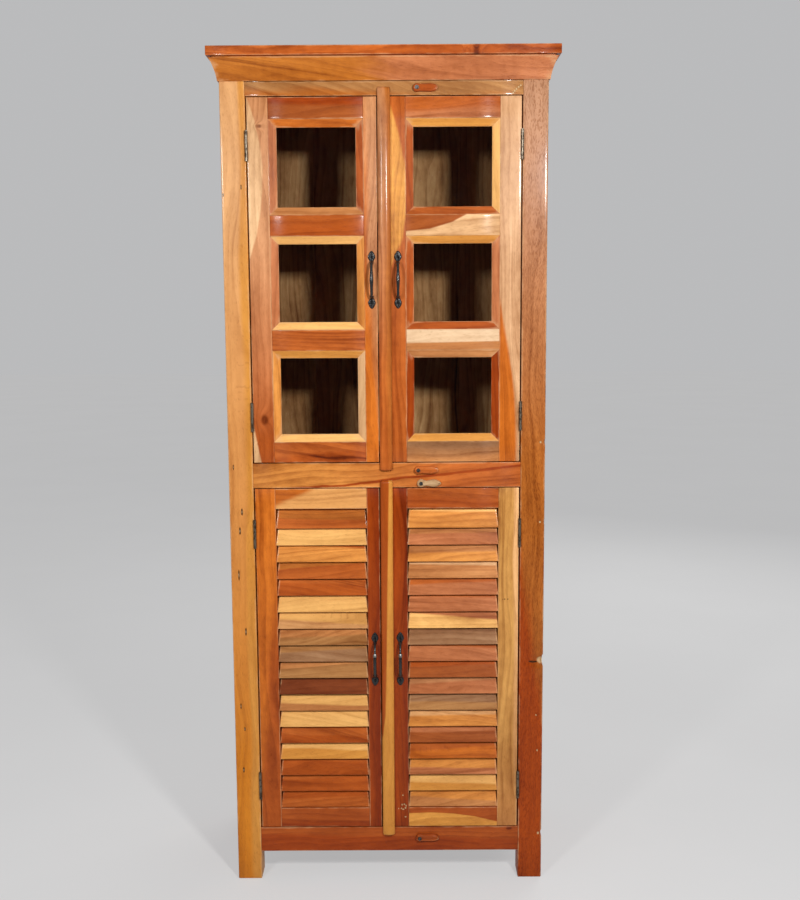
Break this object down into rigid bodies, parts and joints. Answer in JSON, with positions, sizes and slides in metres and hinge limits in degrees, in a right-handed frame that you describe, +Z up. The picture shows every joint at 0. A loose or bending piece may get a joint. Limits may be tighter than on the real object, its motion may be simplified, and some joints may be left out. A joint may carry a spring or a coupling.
{
  "type": "glass cabinet",
  "caption": "Tall free-standing hardwood cabinet: hinged glazed doors above, hinged louvred doors below, with bowed iron pulls, cover strips and turn buttons.",
  "frame": {"origin": "centre of the object's bounding box at floor level, the plane of the feet", "axes": "+Z up along the height; +Y from the front to the back, so the doors face -Y; +X to the right as seen from the front"},
  "size_m": [0.76, 0.406, 1.89],
  "materials": {
    "gold_timber": "honey-gold hardwood with sapwood streaks, satin lacquer, small knots and worm marks",
    "red_timber": "red-brown heartwood with dark streaks, satin lacquer, worn edges",
    "pale_timber": "pale unstained hardwood, bare",
    "inside_timber": "unfinished boards, dull and dusty grey-brown",
    "clear_glass": "clear window glass",
    "black_iron": "hand-forged iron, blacked, slightly uneven",
    "hinge_steel": "plain steel, dulled"
  },
  "bodies": {
    "carcass": {"back_boards": "inside_timber", "button_screws": "hinge_steel", "carcass_screws": "hinge_steel", "cornice_front": "red_timber", "cornice_returns": "red_timber", "door_stops": "inside_timber", "floors": "inside_timber", "hinge_frame_leaves": "hinge_steel", "hinge_frame_screws": "hinge_steel", "hinge_pins": "hinge_steel", "post_front_left": "gold_timber", "post_front_right": "red_timber", "post_rear_left": "red_timber", "post_rear_right": "red_timber", "rail_front_bottom": "red_timber", "rail_front_middle": "gold_timber", "rail_front_top": "red_timber", "rails_back": "inside_timber", "shelf_cleats": "inside_timber", "shelves": "inside_timber", "side_panels": "red_timber", "side_rails": "red_timber", "top_board": "red_timber"},
    "upper_left_door": {"upper_left_beads": "gold_timber", "upper_left_glass": "clear_glass", "upper_left_handle": "black_iron", "upper_left_hinge_leaves": "hinge_steel", "upper_left_hinge_stile": "red_timber", "upper_left_meeting_stile": "gold_timber", "upper_left_rails": "red_timber", "upper_left_screws": "hinge_steel"},
    "upper_right_door": {"upper_right_beads": "red_timber", "upper_right_glass": "clear_glass", "upper_right_handle": "black_iron", "upper_right_hinge_leaves": "hinge_steel", "upper_right_hinge_stile": "red_timber", "upper_right_meeting_stile": "red_timber", "upper_right_rails": "red_timber", "upper_right_screws": "hinge_steel", "upper_strip": "red_timber"},
    "lower_left_door": {"lower_left_handle": "black_iron", "lower_left_hinge_leaves": "hinge_steel", "lower_left_hinge_stile": "red_timber", "lower_left_louvres": "red_timber", "lower_left_meeting_stile": "red_timber", "lower_left_rails": "gold_timber", "lower_left_screws": "hinge_steel"},
    "lower_right_door": {"lower_right_handle": "black_iron", "lower_right_hinge_leaves": "hinge_steel", "lower_right_hinge_stile": "gold_timber", "lower_right_louvres": "red_timber", "lower_right_meeting_stile": "red_timber", "lower_right_rails": "red_timber", "lower_right_screws": "hinge_steel", "lower_strip": "gold_timber"},
    "upper_top_button": {"upper_top_button": "red_timber"},
    "upper_bottom_button": {"upper_bottom_button": "red_timber"},
    "lower_top_button": {"lower_top_button": "pale_timber"},
    "lower_bottom_button": {"lower_bottom_button": "red_timber"}
  },
  "joints": [
    {"name": "upper_left_door_swing", "type": "hinge", "parent": "carcass", "child": "upper_left_door", "pos_m": [-0.2995, -0.1766, 1.39], "axis": [0, 0, -1], "range_deg": [0, 170]},
    {"name": "upper_right_door_swing", "type": "hinge", "parent": "carcass", "child": "upper_right_door", "pos_m": [0.2995, -0.1766, 1.39], "axis": [0, 0, 1], "range_deg": [0, 170]},
    {"name": "lower_left_door_swing", "type": "hinge", "parent": "carcass", "child": "lower_left_door", "pos_m": [-0.2995, -0.1766, 0.53], "axis": [0, 0, -1], "range_deg": [0, 170]},
    {"name": "lower_right_door_swing", "type": "hinge", "parent": "carcass", "child": "lower_right_door", "pos_m": [0.2995, -0.1766, 0.53], "axis": [0, 0, 1], "range_deg": [0, 170]},
    {"name": "upper_top_button_turn", "type": "hinge", "parent": "carcass", "child": "upper_top_button", "pos_m": [0.071, -0.178, 1.804], "axis": [0, 1, 0], "range_deg": [0, 180]},
    {"name": "upper_bottom_button_turn", "type": "hinge", "parent": "carcass", "child": "upper_bottom_button", "pos_m": [0.071, -0.178, 0.972], "axis": [0, -1, 0], "range_deg": [0, 180]},
    {"name": "lower_top_button_turn", "type": "hinge", "parent": "carcass", "child": "lower_top_button", "pos_m": [0.077, -0.178, 0.942], "axis": [0, 1, 0], "range_deg": [0, 180]},
    {"name": "lower_bottom_button_turn", "type": "hinge", "parent": "carcass", "child": "lower_bottom_button", "pos_m": [0.071, -0.178, 0.102], "axis": [0, -1, 0], "range_deg": [0, 180]}
  ]
}
